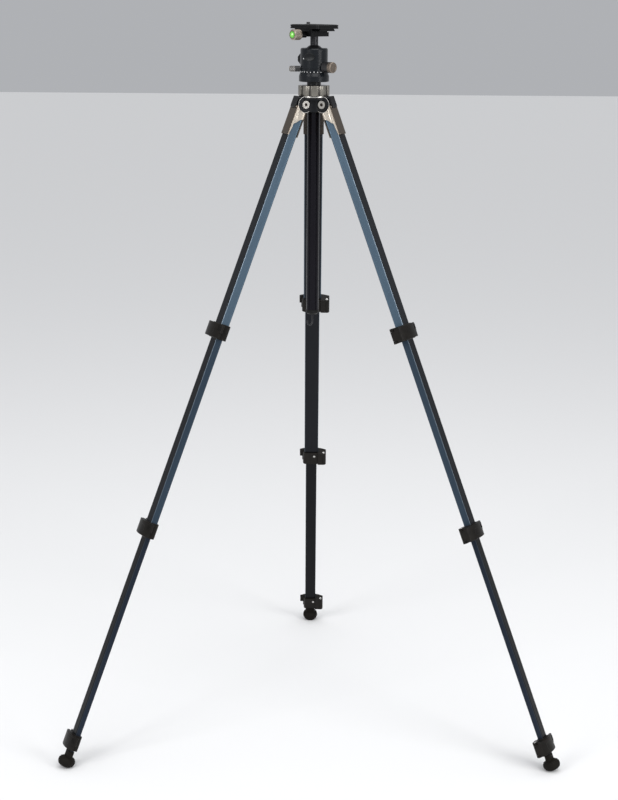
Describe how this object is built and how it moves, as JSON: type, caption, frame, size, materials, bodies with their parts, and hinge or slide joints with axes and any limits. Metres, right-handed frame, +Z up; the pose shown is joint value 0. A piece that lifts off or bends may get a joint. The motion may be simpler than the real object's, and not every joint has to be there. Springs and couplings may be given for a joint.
{
  "type": "tripod",
  "caption": "Photographic tripod with a ball head, quick-release plate, flip-locked telescopic legs and a centre column.",
  "frame": {"origin": "on the floor, midway between the feet and under the centre column's axis", "axes": "+Z up the centre column, +Y towards the rear foot, +X to the right seen from the front"},
  "size_m": [0.8978, 0.7878, 1.3016],
  "materials": {
    "tube_upper": "anodised blue, satin with fine drawn lines",
    "tube_middle": "anodised deep blue, satin with fine drawn lines",
    "tube_lower": "anodised blue-black, satin with fine drawn lines",
    "lock": "moulded, fine grain",
    "rubber": "moulded, matt",
    "casting": "champagne anodised casting, satin",
    "latch": "champagne anodised, satin",
    "bolt_steel": "turned, bright",
    "spider": "black painted casting, semi-gloss",
    "black_plastic": "moulded, matt",
    "ring": "pewter anodised, turned",
    "column": "black anodised, satin",
    "head": "black anodised, semi-gloss",
    "ball": "dark coated, satin",
    "knob_rubber": "moulded grip, matt",
    "knob": "moulded, satin",
    "clamp": "black anodised, satin",
    "bronze_knob": "bronze anodised, satin",
    "level": "clear green bubble level",
    "plate": "black anodised, satin"
  },
  "bodies": {
    "spider": {"spider": "spider", "column_bush": "black_plastic", "leg_pivot_bolts": "bolt_steel"},
    "lock_ring": {"column_lock_ring": "ring"},
    "column": {"column_tube": "column", "column_top_cap": "head", "column_end_cap": "black_plastic", "pan_base": "head"},
    "hook": {"ballast_hook": "bolt_steel"},
    "head": {"ball_housing": "head", "ball_cup": "black_plastic"},
    "ball": {"ball_stem": "ball"},
    "main_knob": {"main_knob": "knob_rubber"},
    "friction_knob": {"friction_knob": "knob"},
    "pan_lock_knob": {"pan_lock_knob": "knob"},
    "clamp": {"clamp_body": "clamp"},
    "jaw": {"clamp_jaw": "clamp"},
    "clamp_knob": {"clamp_knob": "bronze_knob", "knob_level": "level"},
    "plate": {"quick_release_plate": "plate"},
    "camera_screw": {"camera_screw": "bolt_steel"},
    "rear_leg": {"rear_shoulder": "casting", "rear_tube_1": "tube_upper", "rear_lock_1_collar": "lock"},
    "rear_section_2": {"rear_tube_2": "tube_middle", "rear_lock_2_collar": "lock"},
    "rear_section_3": {"rear_tube_3": "tube_lower", "rear_lock_3_collar": "lock"},
    "rear_section_4": {"rear_tube_4": "tube_lower", "rear_foot": "rubber"},
    "rear_lever_1": {"rear_lock_1_lever": "lock"},
    "rear_lever_2": {"rear_lock_2_lever": "lock"},
    "rear_lever_3": {"rear_lock_3_lever": "lock"},
    "rear_angle_latch": {"rear_angle_latch": "latch"},
    "left_leg": {"left_shoulder": "casting", "left_tube_1": "tube_upper", "left_lock_1_collar": "lock"},
    "left_section_2": {"left_tube_2": "tube_middle", "left_lock_2_collar": "lock"},
    "left_section_3": {"left_tube_3": "tube_lower", "left_lock_3_collar": "lock"},
    "left_section_4": {"left_tube_4": "tube_lower", "left_foot": "rubber"},
    "left_lever_1": {"left_lock_1_lever": "lock"},
    "left_lever_2": {"left_lock_2_lever": "lock"},
    "left_lever_3": {"left_lock_3_lever": "lock"},
    "left_angle_latch": {"left_angle_latch": "latch"},
    "right_leg": {"right_shoulder": "casting", "right_tube_1": "tube_upper", "right_lock_1_collar": "lock"},
    "right_section_2": {"right_tube_2": "tube_middle", "right_lock_2_collar": "lock"},
    "right_section_3": {"right_tube_3": "tube_lower", "right_lock_3_collar": "lock"},
    "right_section_4": {"right_tube_4": "tube_lower", "right_foot": "rubber"},
    "right_lever_1": {"right_lock_1_lever": "lock"},
    "right_lever_2": {"right_lock_2_lever": "lock"},
    "right_lever_3": {"right_lock_3_lever": "lock"},
    "right_angle_latch": {"right_angle_latch": "latch"}
  },
  "joints": [
    {"name": "column_slide", "type": "slide", "parent": "spider", "child": "column", "axis": [0, 0, 1], "range_m": [0, 0.32]},
    {"name": "pan", "type": "hinge", "parent": "column", "child": "head", "pos_m": [0, 0, 1.21937], "axis": [0, 0, 1], "continuous": true},
    {"name": "ball_tilt", "type": "hinge", "parent": "head", "child": "ball", "pos_m": [0, 0, 1.24537], "axis": [0.5, -0.866, 0], "range_deg": [-90, 25]},
    {"name": "clamp_spin", "type": "hinge", "parent": "ball", "child": "clamp", "pos_m": [0, 0, 1.27737], "axis": [0, 0, 1], "continuous": true},
    {"name": "plate_slide", "type": "slide", "parent": "clamp", "child": "plate", "axis": [0.6691, -0.7431, 0], "range_m": [-0.02, 0.02]},
    {"name": "clamp_jaw_slide", "type": "slide", "parent": "clamp", "child": "jaw", "axis": [-0.7431, -0.6691, 0], "range_m": [0, 0.0045]},
    {"name": "clamp_knob_turn", "type": "hinge", "parent": "jaw", "child": "clamp_knob", "pos_m": [-0.02973, -0.02677, 1.28037], "axis": [-0.7431, -0.6691, 0], "range_deg": [0, 540]},
    {"name": "rear_leg_fold", "type": "hinge", "parent": "spider", "child": "rear_leg", "pos_m": [0, 0.023, 1.15937], "axis": [1, 0, 0], "range_deg": [-22.36, 0]},
    {"name": "left_leg_fold", "type": "hinge", "parent": "spider", "child": "left_leg", "pos_m": [-0.01992, -0.0115, 1.15937], "axis": [-0.5, 0.866, 0], "range_deg": [-22.36, 0]},
    {"name": "right_leg_fold", "type": "hinge", "parent": "spider", "child": "right_leg", "pos_m": [0.01992, -0.0115, 1.15937], "axis": [-0.5, -0.866, 0], "range_deg": [-22.36, 0]},
    {"name": "rear_section_2_slide", "type": "slide", "parent": "rear_leg", "child": "rear_section_2", "axis": [0, 0.3804, -0.9248], "range_m": [-0.345, 0]},
    {"name": "rear_section_3_slide", "type": "slide", "parent": "rear_section_2", "child": "rear_section_3", "axis": [0, 0.3804, -0.9248], "range_m": [-0.364, 0]},
    {"name": "rear_section_4_slide", "type": "slide", "parent": "rear_section_3", "child": "rear_section_4", "axis": [0, 0.3804, -0.9248], "range_m": [0, 0.394]},
    {"name": "left_section_2_slide", "type": "slide", "parent": "left_leg", "child": "left_section_2", "axis": [-0.3295, -0.1902, -0.9248], "range_m": [-0.345, 0]},
    {"name": "left_section_3_slide", "type": "slide", "parent": "left_section_2", "child": "left_section_3", "axis": [-0.3295, -0.1902, -0.9248], "range_m": [-0.364, 0]},
    {"name": "left_section_4_slide", "type": "slide", "parent": "left_section_3", "child": "left_section_4", "axis": [-0.3295, -0.1902, -0.9248], "range_m": [0, 0.394]},
    {"name": "right_section_2_slide", "type": "slide", "parent": "right_leg", "child": "right_section_2", "axis": [0.3295, -0.1902, -0.9248], "range_m": [-0.345, 0]},
    {"name": "right_section_3_slide", "type": "slide", "parent": "right_section_2", "child": "right_section_3", "axis": [0.3295, -0.1902, -0.9248], "range_m": [-0.364, 0]},
    {"name": "right_section_4_slide", "type": "slide", "parent": "right_section_3", "child": "right_section_4", "axis": [0.3295, -0.1902, -0.9248], "range_m": [0, 0.394]},
    {"name": "rear_lever_1_flip", "type": "hinge", "parent": "rear_leg", "child": "rear_lever_1", "pos_m": [0.028, 0.18369, 0.76322], "axis": [0, 0.3804, -0.9248], "range_deg": [0, 120]},
    {"name": "rear_lever_2_flip", "type": "hinge", "parent": "rear_section_2", "child": "rear_lever_2", "pos_m": [0.0252, 0.32715, 0.41761], "axis": [0, 0.3804, -0.9248], "range_deg": [0, 120]},
    {"name": "rear_lever_3_flip", "type": "hinge", "parent": "rear_section_3", "child": "rear_lever_3", "pos_m": [0.0224, 0.48207, 0.04416], "axis": [0, 0.3804, -0.9248], "range_deg": [0, 120]},
    {"name": "left_lever_1_flip", "type": "hinge", "parent": "left_leg", "child": "left_lever_1", "pos_m": [-0.17308, -0.0676, 0.76322], "axis": [-0.3295, -0.1902, -0.9248], "range_deg": [0, 120]},
    {"name": "left_lever_2_flip", "type": "hinge", "parent": "left_section_2", "child": "left_lever_2", "pos_m": [-0.29592, -0.14175, 0.41761], "axis": [-0.3295, -0.1902, -0.9248], "range_deg": [0, 120]},
    {"name": "left_lever_3_flip", "type": "hinge", "parent": "left_section_3", "child": "left_lever_3", "pos_m": [-0.42869, -0.22163, 0.04416], "axis": [-0.3295, -0.1902, -0.9248], "range_deg": [0, 120]},
    {"name": "right_lever_1_flip", "type": "hinge", "parent": "right_leg", "child": "right_lever_1", "pos_m": [0.14508, -0.11609, 0.76322], "axis": [0.3295, -0.1902, -0.9248], "range_deg": [0, 120]},
    {"name": "right_lever_2_flip", "type": "hinge", "parent": "right_section_2", "child": "right_lever_2", "pos_m": [0.27072, -0.1854, 0.41761], "axis": [0.3295, -0.1902, -0.9248], "range_deg": [0, 120]},
    {"name": "right_lever_3_flip", "type": "hinge", "parent": "right_section_3", "child": "right_lever_3", "pos_m": [0.40628, -0.26044, 0.04416], "axis": [0.3295, -0.1902, -0.9248], "range_deg": [0, 120]},
    {"name": "rear_angle_latch_pull", "type": "hinge", "parent": "rear_leg", "child": "rear_angle_latch", "pos_m": [0, 0.04048, 1.15683], "axis": [-1, 0, 0], "range_deg": [0, 30], "stiffness_Nm_per_rad": 0.2, "springref_deg": -14.32},
    {"name": "left_angle_latch_pull", "type": "hinge", "parent": "left_leg", "child": "left_angle_latch", "pos_m": [-0.03506, -0.02024, 1.15683], "axis": [0.5, -0.866, 0], "range_deg": [0, 30], "stiffness_Nm_per_rad": 0.2, "springref_deg": -14.32},
    {"name": "right_angle_latch_pull", "type": "hinge", "parent": "right_leg", "child": "right_angle_latch", "pos_m": [0.03506, -0.02024, 1.15683], "axis": [0.5, 0.866, 0], "range_deg": [0, 30], "stiffness_Nm_per_rad": 0.2, "springref_deg": -14.32},
    {"name": "lock_ring_turn", "type": "hinge", "parent": "spider", "child": "lock_ring", "pos_m": [0, 0, 1.18337], "axis": [0, 0, 1], "range_deg": [0, 120]},
    {"name": "hook_swivel", "type": "hinge", "parent": "column", "child": "hook", "pos_m": [0, 0, 0.78077], "axis": [0, 0, 1], "continuous": true},
    {"name": "main_knob_turn", "type": "hinge", "parent": "head", "child": "main_knob", "pos_m": [-0.01408, 0.02649, 1.23667], "axis": [-0.4695, 0.8829, 0], "range_deg": [0, 180]},
    {"name": "friction_knob_turn", "type": "hinge", "parent": "head", "child": "friction_knob", "pos_m": [0.02229, -0.02007, 1.22427], "axis": [0.7431, -0.6691, 0], "range_deg": [0, 180]},
    {"name": "pan_lock_knob_turn", "type": "hinge", "parent": "head", "child": "pan_lock_knob", "pos_m": [-0.03, 0, 1.22077], "axis": [-1, 0, 0], "range_deg": [0, 180]},
    {"name": "camera_screw_turn", "type": "hinge", "parent": "plate", "child": "camera_screw", "pos_m": [-0.01071, 0.01189, 1.29707], "axis": [0, 0, 1], "continuous": true}
  ]
}
